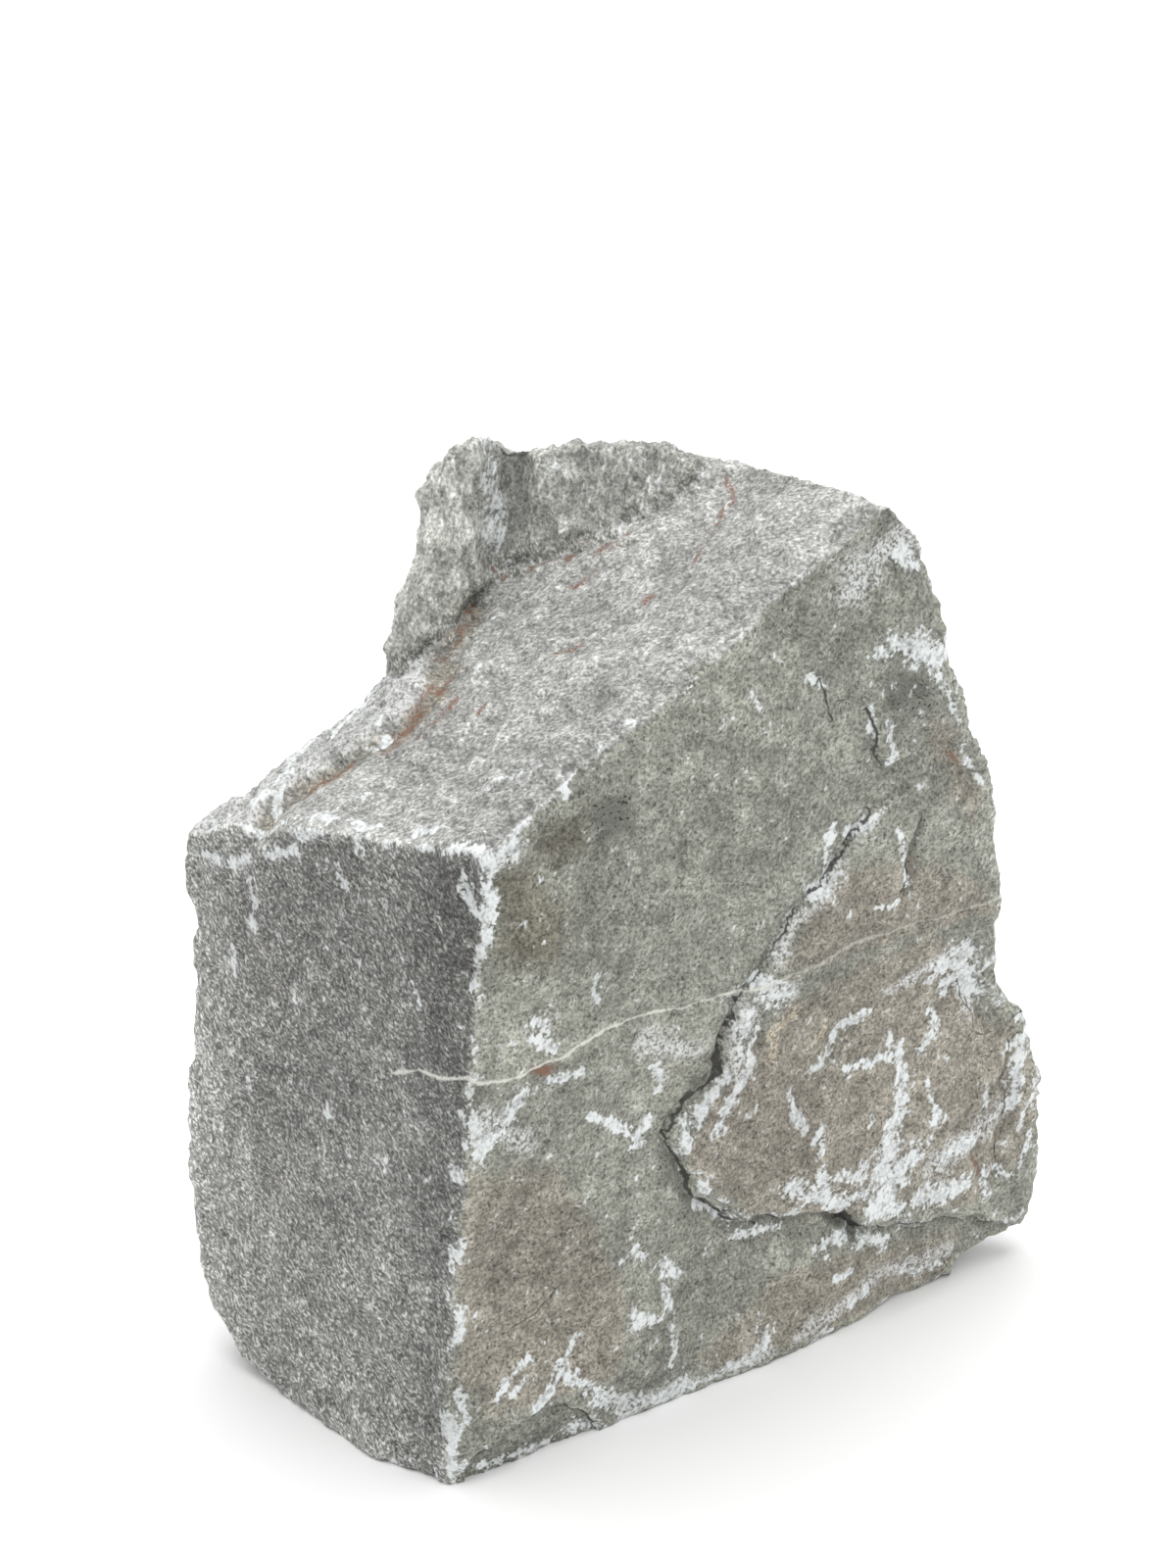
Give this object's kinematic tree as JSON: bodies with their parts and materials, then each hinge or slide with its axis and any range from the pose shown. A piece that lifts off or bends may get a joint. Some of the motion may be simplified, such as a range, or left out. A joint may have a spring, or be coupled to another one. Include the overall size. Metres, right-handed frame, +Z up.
{
  "type": "alabaster block",
  "caption": "Rough block of veined grey alabaster with a sloping split top, a broken ridge along its back and a proud bedding plate, resting on a flat spot under its base.",
  "frame": {"origin": "on the ground plane, under the middle of the stone's bounding box", "axes": "+Z up; -Y the way the broad greenish-grey face faces; -X towards the narrow dark face"},
  "size_m": [0.2424, 0.1179, 0.2634],
  "materials": {
    "alabaster": "matt split and broken stone, grey with white bruises, pale veins and rust-coloured stains"
  },
  "bodies": {
    "root": {"alabaster_block": "alabaster"}
  },
  "joints": []
}
